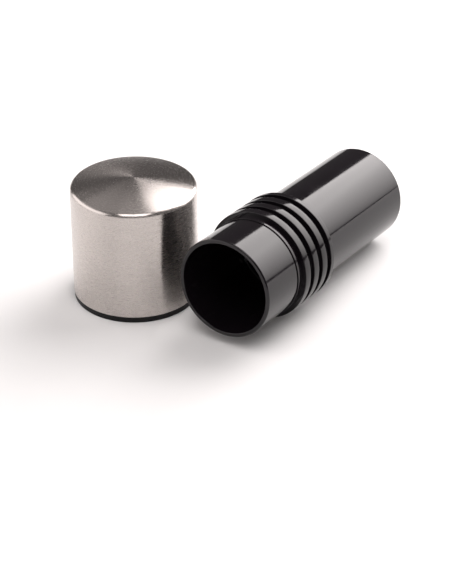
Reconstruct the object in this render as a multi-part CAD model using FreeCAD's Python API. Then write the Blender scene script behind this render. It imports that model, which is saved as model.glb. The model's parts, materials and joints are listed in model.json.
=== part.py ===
"""A twist spice mill with its steel cap taken off and stood beside it.

The mill lies on its side on the floor. Its pieces are drawn about their own axis, with the
distance from the mouth as height, and are then laid down. The cap stands upright.
The origin is on the floor, under the middle of both. +X runs from the mouth to the far end.
Sizes are in millimetres.
"""

import FreeCAD, Part
import math
import os

V = FreeCAD.Vector
AXIS = V(0, 0, 1)

# Clearances
seat_gap = 0.3
slide_gap = 0.2
run_fit = 0.06
screw_gap = 0.15
cord_gap = 0.15
cut_past = 1.0

# Rounding of small moulded edges
small_edge = 0.3

# Storage tube, stepped out from the rear tube to its waist and again to its mouth
mouth_wall = 1.9
mouth_length = 23.4
mouth_edge = 0.7
waist_step = 0.2
shoulder_step = 0.75
storage_draft = 0.5
storage_floor = 2.0
floor_boss_height = 2.5
floor_boss_wall = 1.3

# Ribbed grip sleeve
grip_wall = 0.9
grip_land = 3.4
rib_height = 2.0
rib_width = 3.7
groove_width = 3.42
rib_count = 3
rib_taper = 0.15
end_ring_width = 2.5
rib_edge = 0.25
lip_length = 1.5

# Rear tube
tube_radius = 22.1
tube_wall = 2.6
tube_visible_length = 68.4
tube_front_gap = 0.6
tube_counterbore = 0.5
tube_edge = 0.8
rim_depth = 6.2
rim_wall = 1.55
shelf_length = 4.5
shelf_width = 3.9

# Drive sleeve
collar_space = 2.2
sleeve_wall = 1.6
flange_thickness = 2.0
flange_inset = 0.9
sleeve_end_gap = 0.6
slot_count = 3
slot_width = 4.4
slot_end_wall = 3.9

# Screws that hold the drive sleeve to the storage floor
sleeve_screw_count = 3
sleeve_screw_radius = 0.9
sleeve_screw_head = 1.7
sleeve_screw_sink = 0.9
sleeve_screw_length = 5.2

# Bearing collar, its friction ring, washer and clip
collar_length = 10.9
washer_thickness = 1.3
friction_cord = 0.55
friction_proud = 0.075
clip_thickness = 0.8
clip_depth = 0.5
clip_opening = 24.0
clip_side_gap = 0.08

# Presser and its spring
lug_thickness = 3.3
lug_inset = 0.2
nose_step = 0.4
presser_wall = 2.5
presser_face = 2.0
presser_boss = 3.2
presser_boss_height = 3.0
spring_wire = 0.7
spring_turns = 8
seat_thickness = 1.0
seat_hub_height = 3.0
seat_pin_radius = 4.0
seat_pin_height = 1.6

# Prong plate and its screw
prong_plate_margin = 1.6
prong_plate_thickness = 0.8
prong_height = 1.8
prong_width = 2.4
prong_counts = (6, 10)
prong_inner_share = 0.5
prong_tip_gap = 0.6
presser_screw_radius = 1.4
presser_screw_head = 2.7
presser_screw_head_height = 1.3
presser_screw_length = 4.2

# Blade, gasket, blade ring and its screws
blade_thickness = 0.4
gasket_thickness = 0.4
tooth_height = 0.5
tooth_length = 1.2
tooth_width = 1.6
tooth_hole = 0.7
tooth_rings = (6, 13, 19, 25)
tooth_ring_turn = 11.0
tooth_first_share = 0.25
blade_ring_thickness = 1.8
blade_screw_count = 3
blade_screw_radius = 0.65
blade_screw_head = 1.15
blade_screw_head_height = 0.8
blade_screw_bite = 3.2

# Cap, whose steel top is a dome with a tiny flat middle
cap_height = 54.8
cap_rise = 4.0
cap_steel = 0.6
cap_edge = 2.0
crown_flat = 0.5
cap_foot_height = 2.8
cap_foot_inset = 0.25
cap_fit = 0.15
liner_wall = 1.9
liner_space = 2.8
liner_top = 2.0
liner_lead = 0.8
liner_rib_count = 6
liner_rib_width = 2.0
pad_thickness = 1.4
pad_margin = 2.0
cap_cord = 0.55
cap_cord_height = 8.0
cap_cord_pinch = 0.2

# Where the cap stands: ahead of the mouth, and clear of the ribs
cap_ahead = 15.85
cap_gap = 4.5

# Distances along the mill's axis, from the mouth
grip_start = mouth_length + seat_gap
grip_end = grip_start + grip_land + rib_count * (rib_width + groove_width) + end_ring_width
lip_start = grip_end - lip_length
flange_back = lip_start - seat_gap
flange_front = flange_back - flange_thickness
floor_inside = flange_front - storage_floor
washer_start = flange_back + seat_gap
collar_start = washer_start + washer_thickness + seat_gap
collar_end = collar_start + collar_length
clip_start = collar_end + seat_gap
far_end = grip_end + tube_visible_length
shelf_back = far_end - rim_depth
shelf_front = shelf_back - shelf_length
sleeve_end = shelf_front - sleeve_end_gap
slot_end = sleeve_end - slot_end_wall
lug_back = slot_end - seat_gap
presser_back = lug_back - lug_thickness
blade_front = shelf_back + gasket_thickness
blade_back = blade_front + blade_thickness
ring_back = blade_back + blade_ring_thickness
plate_front = blade_front - tooth_height - prong_tip_gap - prong_height - prong_plate_thickness
plate_back = plate_front + prong_plate_thickness
seat_start = flange_front + seat_gap
spring_start = seat_start + seat_thickness + seat_gap
spring_end = plate_front - presser_face - seat_gap

# Radii about the mill's axis
waist_radius = tube_radius + waist_step
mouth_radius = waist_radius + shoulder_step
mouth_bore = mouth_radius - mouth_wall
grip_bore = waist_radius + seat_gap
groove_radius = grip_bore + grip_wall
rib_radius = groove_radius + rib_height
lip_bore = tube_radius + seat_gap
flange_radius = waist_radius - flange_inset
tube_bore = tube_radius - tube_wall
tube_mouth_bore = tube_bore + tube_counterbore
rim_bore = tube_radius - rim_wall
shelf_bore = rim_bore - shelf_width
sleeve_radius = tube_bore - collar_space
chamber_radius = sleeve_radius - sleeve_wall
collar_bore = sleeve_radius + run_fit
collar_radius = tube_mouth_bore - seat_gap
presser_radius = chamber_radius - seat_gap
nose_radius = presser_radius - nose_step
spring_well = nose_radius - presser_wall
spring_radius = spring_well - seat_gap - spring_wire
seat_hub = spring_radius - spring_wire - seat_gap
blade_radius = rim_bore - seat_gap
sleeve_screw_place = (sleeve_radius + flange_radius) / 2
blade_screw_place = (shelf_bore + blade_radius) / 2

# Cap radii, from the mouth outwards, and heights
liner_bore = mouth_radius + cap_fit
liner_radius = liner_bore + liner_wall
shell_bore = liner_radius + liner_space
liner_rib_radius = shell_bore - seat_gap
cap_radius = shell_bore + cap_steel
crown_radius = cap_radius / 2 - cap_edge
cap_top = cap_height + cap_rise
pad_edge_top = cap_height - cap_steel - seat_gap
pad_top = cap_top - cap_steel - seat_gap
liner_height = pad_edge_top - pad_thickness - seat_gap
cap_aside = rib_radius + cap_gap + cap_radius


def turned(corners):
    """Solid of revolution about the axis from (radius, height, rounding) corners in order."""
    points = [V(r, 0, z) for r, z, _ in corners]
    rounds = [rounding for _, _, rounding in corners]
    edges = []
    ends = []
    for i, corner in enumerate(points):
        if rounds[i] == 0:
            ends.append((corner, corner))
            continue
        back = (points[i - 1] - corner).normalize()
        ahead = (points[(i + 1) % len(points)] - corner).normalize()
        half = back.getAngle(ahead) / 2
        inward = (back + ahead).normalize()
        centre = corner + inward * (rounds[i] / math.sin(half))
        reach = rounds[i] / math.tan(half)
        start = corner + back * reach
        end = corner + ahead * reach
        edges.append(Part.Arc(start, centre - inward * rounds[i], end).toShape())
        ends.append((start, end))
    for i in range(len(points)):
        start = ends[i - 1][1]
        end = ends[i][0]
        if (end - start).Length > 1e-6:
            edges.append(Part.LineSegment(start, end).toShape())
    wire = Part.Wire(Part.__sortEdges__(edges))
    return Part.Face(wire).revolve(V(0, 0, 0), AXIS, 360)


def ring(inner, outer, low, high, rounding=0):
    """Plain ring about the axis."""
    return turned([(inner, low, 0), (outer, low, rounding), (outer, high, rounding), (inner, high, 0)])


def rod(radius, low, high, x=0):
    """Cylinder parallel to the axis, at distance x from it."""
    return Part.makeCylinder(radius, high - low, V(x, 0, low))


def bar(inner, outer, width, low, high):
    """Radial bar along local X, from the inner to the outer radius."""
    return Part.makeBox(outer - inner, width, high - low, V(inner, -width / 2, low))


def around(shape, count, start=0.0):
    """Copies of a shape, evenly spaced about the axis."""
    copies = []
    for i in range(count):
        copy = shape.copy()
        copy.rotate(V(0, 0, 0), AXIS, start + i * 360.0 / count)
        copies.append(copy)
    return copies


def storage_body():
    """Mouth, storage tube, floor and the bosses for the drive sleeve's screws."""
    bore_end = mouth_bore - storage_draft
    tube = turned(
        [
            (mouth_radius, 0, mouth_edge),
            (mouth_radius, mouth_length, 0),
            (waist_radius, mouth_length, 0),
            (waist_radius, flange_front, 0),
            (0, flange_front, 0),
            (0, floor_inside, 0),
            (bore_end, floor_inside, mouth_wall / 2),
            (mouth_bore, 0, mouth_edge / 2),
        ]
    )
    pin = rod(seat_pin_radius, flange_front, seat_start + seat_thickness + seat_pin_height)
    boss_radius = sleeve_screw_radius + screw_gap + floor_boss_wall
    low = floor_inside - floor_boss_height
    outer_limit = rod(bore_end + mouth_wall / 2, low, floor_inside + storage_floor / 2)
    boss = rod(boss_radius, low, floor_inside + storage_floor / 2, sleeve_screw_place)
    bosses = [b.common(outer_limit) for b in around(boss, sleeve_screw_count, sleeve_screw_turn())]
    body = tube.fuse([pin] + bosses)
    hole_end = flange_back - sleeve_screw_length - seat_gap
    hole = rod(sleeve_screw_radius + screw_gap, hole_end, flange_front, sleeve_screw_place)
    return body.cut(around(hole, sleeve_screw_count, sleeve_screw_turn())).removeSplitter()


def sleeve_screw_turn():
    """The screws stand midway between the drive sleeve's slots."""
    return 180.0 / slot_count


def grip_sleeve():
    """Ribbed sleeve pressed over the waist of the storage tube, with a lip round the rear tube.

    The front half of each rib falls a little towards the mouth.
    """
    corners = [(grip_bore, grip_start, 0), (groove_radius, grip_start, rib_edge / 2)]
    for i in range(rib_count):
        low = grip_start + grip_land + i * (rib_width + groove_width)
        high = low + rib_width
        corners += [(groove_radius, low, 0), (rib_radius - rib_taper, low, rib_edge)]
        corners += [(rib_radius, low + rib_width / 2, 0)]
        corners += [(rib_radius, high, rib_edge), (groove_radius, high, 0)]
    low = grip_end - end_ring_width
    corners += [(groove_radius, low, 0), (rib_radius, low, rib_edge), (rib_radius, grip_end, rib_edge)]
    corners += [(lip_bore, grip_end, 0), (lip_bore, lip_start, 0), (grip_bore, lip_start, 0)]
    return turned(corners)


def drive_sleeve():
    """Slotted tube that turns the presser, with the flange that the screws hold."""
    tube = ring(chamber_radius, sleeve_radius, flange_front, sleeve_end)
    flange = ring(chamber_radius, flange_radius, flange_front, flange_back)
    body = tube.fuse(flange)
    slot = bar(chamber_radius / 2, sleeve_radius + seat_gap, slot_width, flange_front, slot_end)
    groove_end = clip_start + clip_thickness
    groove = ring(sleeve_radius - clip_depth, sleeve_radius + cut_past, clip_start, groove_end)
    hole = rod(sleeve_screw_radius + screw_gap, flange_front, flange_back, sleeve_screw_place)
    sink_floor = flange_back - sleeve_screw_sink
    sink = rod(sleeve_screw_head + screw_gap, sink_floor, flange_back, sleeve_screw_place)
    screws = around(hole.fuse(sink), sleeve_screw_count, sleeve_screw_turn())
    return body.cut(around(slot, slot_count) + [groove] + screws)


def sleeve_screws():
    """Flat screws through the flange into the storage floor."""
    shank = rod(sleeve_screw_radius, flange_back - sleeve_screw_length, flange_back, sleeve_screw_place)
    head_low = flange_back - sleeve_screw_sink
    head = rod(sleeve_screw_head, head_low, flange_back, sleeve_screw_place)
    slot = Part.makeBox(
        2 * sleeve_screw_head,
        sleeve_screw_head / 3,
        sleeve_screw_sink / 2,
        V(
            sleeve_screw_place - sleeve_screw_head,
            -sleeve_screw_head / 6,
            flange_back - sleeve_screw_sink / 2,
        ),
    )
    screw = shank.fuse(head).cut(slot)
    return Part.makeCompound(around(screw, sleeve_screw_count, sleeve_screw_turn()))


def thrust_washer():
    return ring(collar_bore + seat_gap / 2, collar_radius, washer_start, washer_start + washer_thickness)


def bearing_collar():
    """Collar that turns on the drive sleeve and carries the rear tube."""
    groove_floor = collar_radius - 2 * friction_cord
    middle = (collar_start + collar_end) / 2
    half = friction_cord + cord_gap
    body = ring(collar_bore, collar_radius, collar_start, collar_end, small_edge)
    return body.cut(ring(groove_floor, collar_radius + cut_past, middle - half, middle + half))


def friction_ring():
    """Rubber ring in the collar's groove, which holds the rear tube on."""
    middle = (collar_start + collar_end) / 2
    return Part.makeTorus(collar_radius - friction_cord + friction_proud, friction_cord, V(0, 0, middle))


def collar_clip():
    """Open steel clip that keeps the collar on the drive sleeve."""
    inner = sleeve_radius - clip_depth + screw_gap
    outer = (sleeve_radius + tube_bore) / 2 + seat_gap
    low = clip_start + clip_side_gap
    high = clip_start + clip_thickness - clip_side_gap
    clip = ring(inner, outer, low, high)
    half = math.radians(clip_opening / 2)
    reach = 2 * outer
    wedge = Part.makePolygon(
        [
            V(0, 0, low),
            V(reach * math.cos(half), -reach * math.sin(half), low),
            V(reach * math.cos(half), reach * math.sin(half), low),
            V(0, 0, low),
        ]
    )
    return clip.cut(Part.Face(wedge).extrude(V(0, 0, high - low)))


def rear_tube():
    """Tube that is turned by hand, with the shelf for the blade and the rim round it."""
    screw_depth = shelf_back - blade_screw_bite
    tube = turned(
        [
            (tube_mouth_bore, flange_back + tube_front_gap, 0),
            (tube_radius, flange_back + tube_front_gap, small_edge),
            (tube_radius, far_end, tube_edge),
            (rim_bore, far_end, small_edge),
            (rim_bore, shelf_back, 0),
            (shelf_bore, shelf_back, 0),
            (shelf_bore, shelf_front, 0),
            (tube_bore, shelf_front, 0),
            (tube_bore, collar_end + seat_gap, 0),
            (tube_mouth_bore, collar_end + seat_gap, 0),
        ]
    )
    hole = rod(blade_screw_radius + screw_gap, screw_depth, shelf_back, blade_screw_place)
    return tube.cut(around(hole, blade_screw_count))


def blade_gasket():
    hole = rod(blade_screw_radius + screw_gap, shelf_back, blade_front, blade_screw_place)
    return ring(shelf_bore, blade_radius, shelf_back, blade_front).cut(around(hole, blade_screw_count))


def blade_disc():
    """Etched steel disc with raised cutting edges towards the chamber."""
    disc = rod(blade_radius, blade_front, blade_back)
    teeth = []
    holes = []
    spacing = (chamber_radius - tooth_width) / (len(tooth_rings) - tooth_first_share)
    for i, count in enumerate(tooth_rings):
        middle = spacing * (i + 1 - tooth_first_share)
        edge = [
            V(middle - tooth_width / 2, 0, blade_front),
            V(middle - tooth_width / 2, tooth_length, blade_front),
            V(middle - tooth_width / 2, 0, blade_front - tooth_height),
        ]
        side = Part.Face(Part.makePolygon(edge + [edge[0]]))
        teeth += around(side.extrude(V(tooth_width, 0, 0)), count, i * tooth_ring_turn)
        hole = Part.makeBox(
            tooth_width,
            tooth_hole,
            blade_thickness,
            V(middle - tooth_width / 2, -tooth_hole, blade_front),
        )
        holes += around(hole, count, i * tooth_ring_turn)
    screw = rod(blade_screw_radius + screw_gap, blade_front, blade_back, blade_screw_place)
    return disc.fuse(teeth).cut(holes + around(screw, blade_screw_count))


def blade_ring():
    hole = rod(blade_screw_radius + screw_gap, blade_back, ring_back, blade_screw_place)
    body = ring(shelf_bore, blade_radius, blade_back, ring_back, small_edge)
    return body.cut(around(hole, blade_screw_count))


def blade_screws():
    """Pan screws through the ring, the blade and the gasket into the shelf."""
    low = shelf_back - blade_screw_bite + seat_gap
    shank = rod(blade_screw_radius, low, ring_back, blade_screw_place)
    head = rod(blade_screw_head, ring_back, ring_back + blade_screw_head_height, blade_screw_place)
    slot = Part.makeBox(
        2 * blade_screw_head,
        blade_screw_head / 3,
        blade_screw_head_height / 2,
        V(
            blade_screw_place - blade_screw_head,
            -blade_screw_head / 6,
            ring_back + blade_screw_head_height / 2,
        ),
    )
    return Part.makeCompound(around(shank.fuse(head).cut(slot), blade_screw_count))


def spring_seat():
    """Flanged washer that centres the spring on the storage floor."""
    bore = seat_pin_radius + seat_gap
    plate = ring(bore, spring_radius + spring_wire, seat_start, seat_start + seat_thickness)
    return plate.fuse(ring(bore, seat_hub, seat_start, seat_start + seat_thickness + seat_hub_height))


def pressure_spring():
    """Coil spring between its seat and the presser."""
    length = spring_end - spring_start - 2 * spring_wire
    path = Part.makeHelix(length / spring_turns, length, spring_radius)
    section = Part.Wire(Part.makeCircle(spring_wire, V(spring_radius, 0, 0), V(0, 1, 0)))
    coil = Part.Wire(path).makePipeShell([section], True, True)
    coil.translate(V(0, 0, spring_start + spring_wire))
    return coil


def presser():
    """Hollow piston with lugs that run in the drive sleeve's slots."""
    body = turned(
        [
            (spring_well, presser_back, 0),
            (presser_radius, presser_back, small_edge),
            (presser_radius, lug_back, small_edge),
            (nose_radius, lug_back, 0),
            (nose_radius, plate_front, small_edge),
            (0, plate_front, 0),
            (0, plate_front - presser_face, 0),
            (spring_well, plate_front - presser_face, 0),
        ]
    )
    lug_width = slot_width - 2 * slide_gap
    lug = bar(spring_well + presser_wall / 2, sleeve_radius, lug_width, presser_back, lug_back)
    lug = lug.common(rod(sleeve_radius - lug_inset, presser_back, lug_back))
    boss = rod(presser_boss, plate_front - presser_face - presser_boss_height, plate_front - presser_face)
    body = body.fuse(around(lug, slot_count) + [boss])
    hole_low = plate_front - presser_screw_length - seat_gap
    return body.cut(rod(presser_screw_radius + screw_gap, hole_low, plate_front)).removeSplitter()


def prong_plate():
    """Steel plate with bent prongs that hold the spice against the blade."""
    outer = nose_radius - prong_plate_margin
    plate = ring(presser_screw_radius + screw_gap, outer, plate_front, plate_back)
    prongs = []
    places = (outer * prong_inner_share, outer - prong_plate_thickness)
    for count, place in zip(prong_counts, places):
        base = [
            V(place - prong_plate_thickness, -prong_width / 2, plate_back),
            V(place - prong_plate_thickness, prong_width / 2, plate_back),
            V(place - prong_plate_thickness, 0, plate_back + prong_height),
        ]
        side = Part.Face(Part.makePolygon(base + [base[0]]))
        prongs += around(side.extrude(V(prong_plate_thickness, 0, 0)), count)
    return plate.fuse(prongs)


def presser_screw():
    shank = rod(presser_screw_radius, plate_front - presser_screw_length, plate_back)
    head = turned(
        [
            (0, plate_back, 0),
            (presser_screw_head, plate_back, 0),
            (presser_screw_head, plate_back + presser_screw_head_height, presser_screw_head_height / 2),
            (0, plate_back + presser_screw_head_height, 0),
        ]
    )
    return shank.fuse(head)


def dome_rounding(edge_radius):
    """Rounding of a dome that rises from its edge to the small flat in its middle."""
    slope = math.atan(cap_rise / (edge_radius - crown_radius))
    return (crown_radius - crown_flat) / math.tan(slope / 2)


def cap_shell():
    """Drawn steel cup, open side down, with a domed top."""
    return turned(
        [
            (shell_bore, cap_foot_height, 0),
            (cap_radius, cap_foot_height, cap_steel / 3),
            (cap_radius, cap_height, cap_edge),
            (crown_radius, cap_top, dome_rounding(cap_radius)),
            (0, cap_top, 0),
            (0, cap_top - cap_steel, 0),
            (crown_radius, cap_top - cap_steel, dome_rounding(shell_bore)),
            (shell_bore, cap_height - cap_steel, cap_edge - cap_steel),
        ]
    )


def cap_liner():
    """Inner cup that fits over the mouth, with its foot under the steel and ribs that centre it."""
    groove_low = cap_cord_height - cap_cord - cord_gap
    groove_high = cap_cord_height + cap_cord + cord_gap
    groove_floor = liner_bore + 2 * cap_cord
    cup = turned(
        [
            (liner_bore + liner_lead, 0, 0),
            (cap_radius - cap_foot_inset, 0, small_edge),
            (cap_radius - cap_foot_inset, cap_foot_height, 0),
            (liner_radius, cap_foot_height, 0),
            (liner_radius, liner_height, liner_wall / 2),
            (0, liner_height, 0),
            (0, liner_height - liner_top, 0),
            (liner_bore, liner_height - liner_top, liner_wall / 3),
            (liner_bore, groove_high, 0),
            (groove_floor, groove_high, 0),
            (groove_floor, groove_low, 0),
            (liner_bore, groove_low, 0),
            (liner_bore, liner_lead, 0),
        ]
    )
    rib_top = liner_height - liner_wall
    rib = bar(liner_bore + liner_wall / 2, liner_rib_radius, liner_rib_width, cap_foot_height, rib_top)
    return cup.fuse(around(rib, liner_rib_count)).removeSplitter()


def cap_pad():
    """Foam disc between the liner and the steel top, shaped to the dome above it."""
    low = liner_height + seat_gap
    under_dome = turned(
        [
            (0, low, 0),
            (shell_bore, low, 0),
            (shell_bore, pad_edge_top, 0),
            (crown_radius, pad_top, dome_rounding(shell_bore)),
            (0, pad_top, 0),
        ]
    )
    return under_dome.common(rod(liner_radius - pad_margin, low, pad_top))


def cap_cord_ring():
    """Rubber ring in the liner that grips the mouth."""
    return Part.makeTorus(liner_bore + cap_cord - cap_cord_pinch, cap_cord, V(0, 0, cap_cord_height))


def lying_tilt():
    """Angle, in radians, at which the end ring and the far edge both touch the floor."""
    along = (far_end - tube_edge) - (grip_end - rib_edge)
    drop = (tube_radius - tube_edge) - (rib_radius - rib_edge)
    return math.asin((rib_edge - tube_edge) / math.hypot(along, drop)) - math.atan2(drop, along)


def mouth_height(tilt):
    """Height of the mouth's middle above the floor."""
    rise = (far_end - tube_edge) * math.sin(tilt)
    return rise + (tube_radius - tube_edge) * math.cos(tilt) + tube_edge


def mill_place():
    """Lays a piece of the mill down, with the origin midway under the mill and the cap."""
    tilt = lying_tilt()
    corner = (far_end - tube_edge) * math.cos(tilt)
    reach = corner + (tube_radius - tube_edge) * math.sin(tilt) + tube_edge
    mouth_x = -(reach + cap_ahead - cap_radius) / 2
    mouth_y = -(cap_aside + cap_radius - rib_radius) / 2
    turn = FreeCAD.Rotation(V(0, 1, 0), 90 + math.degrees(tilt))
    return FreeCAD.Placement(V(mouth_x, mouth_y, mouth_height(tilt)), turn)


def cap_place():
    """Stands a piece of the cap beside the mill."""
    mouth = mill_place().Base
    return FreeCAD.Placement(V(mouth.x + cap_ahead, mouth.y + cap_aside, 0), FreeCAD.Rotation())


MILL_PIECES = {
    "storage_body": storage_body,
    "grip_sleeve": grip_sleeve,
    "drive_sleeve": drive_sleeve,
    "sleeve_screws": sleeve_screws,
    "thrust_washer": thrust_washer,
    "bearing_collar": bearing_collar,
    "friction_ring": friction_ring,
    "collar_clip": collar_clip,
    "rear_tube": rear_tube,
    "blade_gasket": blade_gasket,
    "blade_disc": blade_disc,
    "blade_ring": blade_ring,
    "blade_screws": blade_screws,
    "spring_seat": spring_seat,
    "pressure_spring": pressure_spring,
    "presser": presser,
    "prong_plate": prong_plate,
    "presser_screw": presser_screw,
}

CAP_PIECES = {
    "cap_shell": cap_shell,
    "cap_liner": cap_liner,
    "cap_pad": cap_pad,
    "cap_cord_ring": cap_cord_ring,
}


def save(pieces, place):
    """Writes each piece, placed, to its own file."""
    for name, make in pieces.items():
        shape = make()
        shape.Placement = place.multiply(shape.Placement)
        shape.exportStep("parts/" + name + ".step")
        print(name, "solids", len(shape.Solids), "valid", shape.isValid(), "volume", round(shape.Volume, 1))


def main():
    os.makedirs("parts", exist_ok=True)
    save(MILL_PIECES, mill_place())
    save(CAP_PIECES, cap_place())
    print("mouth", mill_place().Base, "tilt", math.degrees(lying_tilt()), "cap", cap_place().Base)
    print("bearing at", (collar_start + collar_end) / 2, "far end at", far_end)


main()
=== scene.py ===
"""Twist spice mill lying beside its steel cap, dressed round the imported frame.

Pieces of the mill are shaped about the upright axis, with the distance from the mouth as their
height, and are then laid down along the frame's own turning axis. Lengths are in metres.
"""

import json
import math
from collections import namedtuple

import bmesh
import bpy
import numpy as np
from bpy.props import FloatProperty, FloatVectorProperty, IntProperty, PointerProperty
from mathutils import Matrix, Vector


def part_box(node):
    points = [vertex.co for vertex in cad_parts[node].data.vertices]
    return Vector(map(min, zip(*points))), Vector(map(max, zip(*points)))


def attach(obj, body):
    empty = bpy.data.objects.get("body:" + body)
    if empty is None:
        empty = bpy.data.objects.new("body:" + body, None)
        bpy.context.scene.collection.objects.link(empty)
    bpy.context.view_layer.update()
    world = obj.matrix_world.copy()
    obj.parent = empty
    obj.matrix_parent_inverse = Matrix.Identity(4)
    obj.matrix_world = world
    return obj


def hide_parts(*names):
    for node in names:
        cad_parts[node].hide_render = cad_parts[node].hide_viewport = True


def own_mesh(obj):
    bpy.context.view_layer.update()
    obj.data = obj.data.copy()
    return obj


bl_info = {
    "name": "Twist spice mill",
    "version": (1, 0, 0),
    "blender": (4, 5, 0),
    "location": "3D view > Sidebar > Spice mill",
    "description": "Builds the visible pieces of a twist spice mill and its cap round a packed frame",
    "category": "Object",
}

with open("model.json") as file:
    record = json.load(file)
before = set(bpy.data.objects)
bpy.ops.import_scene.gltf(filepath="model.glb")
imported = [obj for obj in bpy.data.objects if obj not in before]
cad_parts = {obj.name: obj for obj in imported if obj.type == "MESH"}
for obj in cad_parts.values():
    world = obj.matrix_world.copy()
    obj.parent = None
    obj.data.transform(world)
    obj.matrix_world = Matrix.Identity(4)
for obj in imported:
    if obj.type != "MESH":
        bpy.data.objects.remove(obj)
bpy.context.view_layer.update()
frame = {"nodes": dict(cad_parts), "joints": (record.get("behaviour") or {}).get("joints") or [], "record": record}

MM = 0.001
SAME_PLACE = 0.002 * MM

# Steps round a large ring, one inside the mill, a small one, a screw, a rubber cord and a wire
LARGE_STEPS = 192
INNER_STEPS = 96
SMALL_STEPS = 48
SCREW_STEPS = 32
CORD_STEPS = 16
WIRE_STEPS = 14

# Fewest steps across a rounded edge, the length of one on a wide edge, and steps along the dome
EDGE_STEPS = 5
SCREW_EDGE_STEPS = 3
STEP_WIDTH = 0.5 * MM
DOME_STEPS = 16

# Edges sharper than this stay sharp, and large faces lead the shading of those beside them
SHARP_ANGLE = math.radians(28)
LARGE_FACE_WEIGHT = 60

# Slots, lugs and screws stand in threes round the mill
THIRDS = 3

Reach = namedtuple("Reach", "low high inner outer")


# Places taken from the frame

def joint_named(name):
    return next(joint for joint in frame["joints"] if joint["name"] == name)


AXIS = Vector(joint_named("mill_turn")["axis"]).normalized()
TILT = math.atan2(-AXIS.z, AXIS.x)


def corners_of(node):
    """All corner points of a CAD node."""
    mesh = frame["nodes"][node].data
    points = np.empty(len(mesh.vertices) * 3)
    mesh.vertices.foreach_get("co", points)
    return points.reshape(-1, 3)


def mouth_place():
    """Middle of the open mouth, on the mill's axis."""
    bearing = np.array(joint_named("mill_turn")["pos_m"])
    along = (corners_of("storage_body") - bearing) @ np.array(AXIS)
    return Vector(bearing) + AXIS * along.min()


MOUTH = mouth_place()


def reach(node):
    """How far a piece of the mill reaches along the axis, from the mouth, and about it."""
    offset = corners_of(node) - np.array(MOUTH)
    along = offset @ np.array(AXIS)
    about = np.linalg.norm(offset - np.outer(along, np.array(AXIS)), axis=1)
    return Reach(along.min(), along.max(), about.min(), about.max())


def cap_place():
    """Middle of the cap on the floor."""
    low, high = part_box("cap_shell")
    return Vector(((low.x + high.x) / 2, (low.y + high.y) / 2, 0))


CAP = cap_place()
BODY = reach("storage_body")
GRIP = reach("grip_sleeve")
REAR = reach("rear_tube")
SLEEVE = reach("drive_sleeve")
SPRING = reach("pressure_spring")

LAID_DOWN = Matrix.Translation(MOUTH) @ Matrix.Rotation(math.pi / 2 + TILT, 4, "Y")
STOOD_UP = Matrix.Translation(CAP)


# Sizes and colours that a user would change

def size(name, default, description):
    return FloatProperty(name=name, description=description, default=default, unit="LENGTH", precision=5)


def angle(name, degrees, description):
    return FloatProperty(name=name, description=description, default=math.radians(degrees), unit="ROTATION")


def number(name, default, description):
    return FloatProperty(name=name, description=description, default=default)


def colour(name, default, description):
    return FloatVectorProperty(
        name=name, description=description, default=default, size=3, subtype="COLOR", min=0, max=1
    )


class MillSizes(bpy.types.PropertyGroup):
    mouth_wall: size("Mouth wall", 1.9 * MM, "Wall of the storage tube at its mouth")
    mouth_edge: size("Mouth edge", 0.7 * MM, "Rounding of the mouth's outer edge")
    mouth_length: size("Mouth length", 23.4 * MM, "Smooth length that the cap covers")
    waist: size("Waist step", 0.75 * MM, "Step from the mouth down to the waist under the grip")
    draft: size("Draft", 0.5 * MM, "Narrowing of the storage bore towards its floor")
    floor: size("Storage floor", 2.0 * MM, "Thickness of the storage floor")
    groove_depth: size("Groove depth", 2.0 * MM, "Height of the ribs over the grooves")
    land: size("Grip land", 3.4 * MM, "Smooth band before the first rib")
    rib_width: size("Rib width", 3.7 * MM, "Width of one rib")
    groove_width: size("Groove width", 3.42 * MM, "Width of one groove")
    end_ring: size("End ring", 2.5 * MM, "Width of the ring after the ribs")
    lip_length: size("Lip length", 1.5 * MM, "Length of the grip's lip round the rear tube")
    rib_fall: size("Rib fall", 0.15 * MM, "Fall of a rib's front half towards the mouth")
    rib_edge: size("Rib edge", 0.25 * MM, "Rounding of the ribs' corners")
    rib_count: IntProperty(name="Ribs", description="Number of ribs before the end ring", default=3, min=1)
    tube_wall: size("Tube wall", 2.6 * MM, "Wall of the rear tube")
    tube_edge: size("Tube edge", 0.8 * MM, "Rounding of the rear tube's far edge")
    counterbore: size("Counterbore", 0.5 * MM, "Step out of the rear tube's bore round the collar")
    rim_wall: size("Rim wall", 1.55 * MM, "Wall of the rim round the blade")
    rim_depth: size("Rim depth", 6.2 * MM, "Depth of the blade's shelf under the far edge")
    shelf_width: size("Shelf width", 3.9 * MM, "Width of the shelf that carries the blade")
    shelf_length: size("Shelf length", 4.5 * MM, "Length of the shelf along the axis")
    small_edge: size("Small edge", 0.3 * MM, "Rounding of small moulded edges")
    gap: size("Gap", 0.3 * MM, "Gap between moulded pieces that rest together")


class CapSizes(bpy.types.PropertyGroup):
    steel: size("Steel", 0.6 * MM, "Thickness of the steel")
    edge: size("Top edge", 2.0 * MM, "Rounding of the edge round the top")
    rise: size("Rise", 4.0 * MM, "Rise of the top from its edge to its middle")
    crown_flat: size("Crown flat", 0.5 * MM, "Radius of the small flat in the middle of the dome")
    foot_height: size("Foot height", 2.8 * MM, "Height of the black foot under the steel")
    foot_edge: size("Foot edge", 0.3 * MM, "Rounding of the foot's outer edge")
    liner_wall: size("Liner wall", 1.9 * MM, "Wall of the black liner")
    liner_top: size("Liner top", 2.0 * MM, "Thickness of the liner's closed end")
    liner_lead: size("Liner lead", 0.8 * MM, "Lead-in at the liner's mouth")
    fit: size("Fit", 0.15 * MM, "Gap between the liner and the mill's mouth")
    cord: size("Cord", 0.55 * MM, "Radius of the rubber ring's cord")
    cord_play: size("Cord play", 0.15 * MM, "Play of the cord at each side of its groove")


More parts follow.
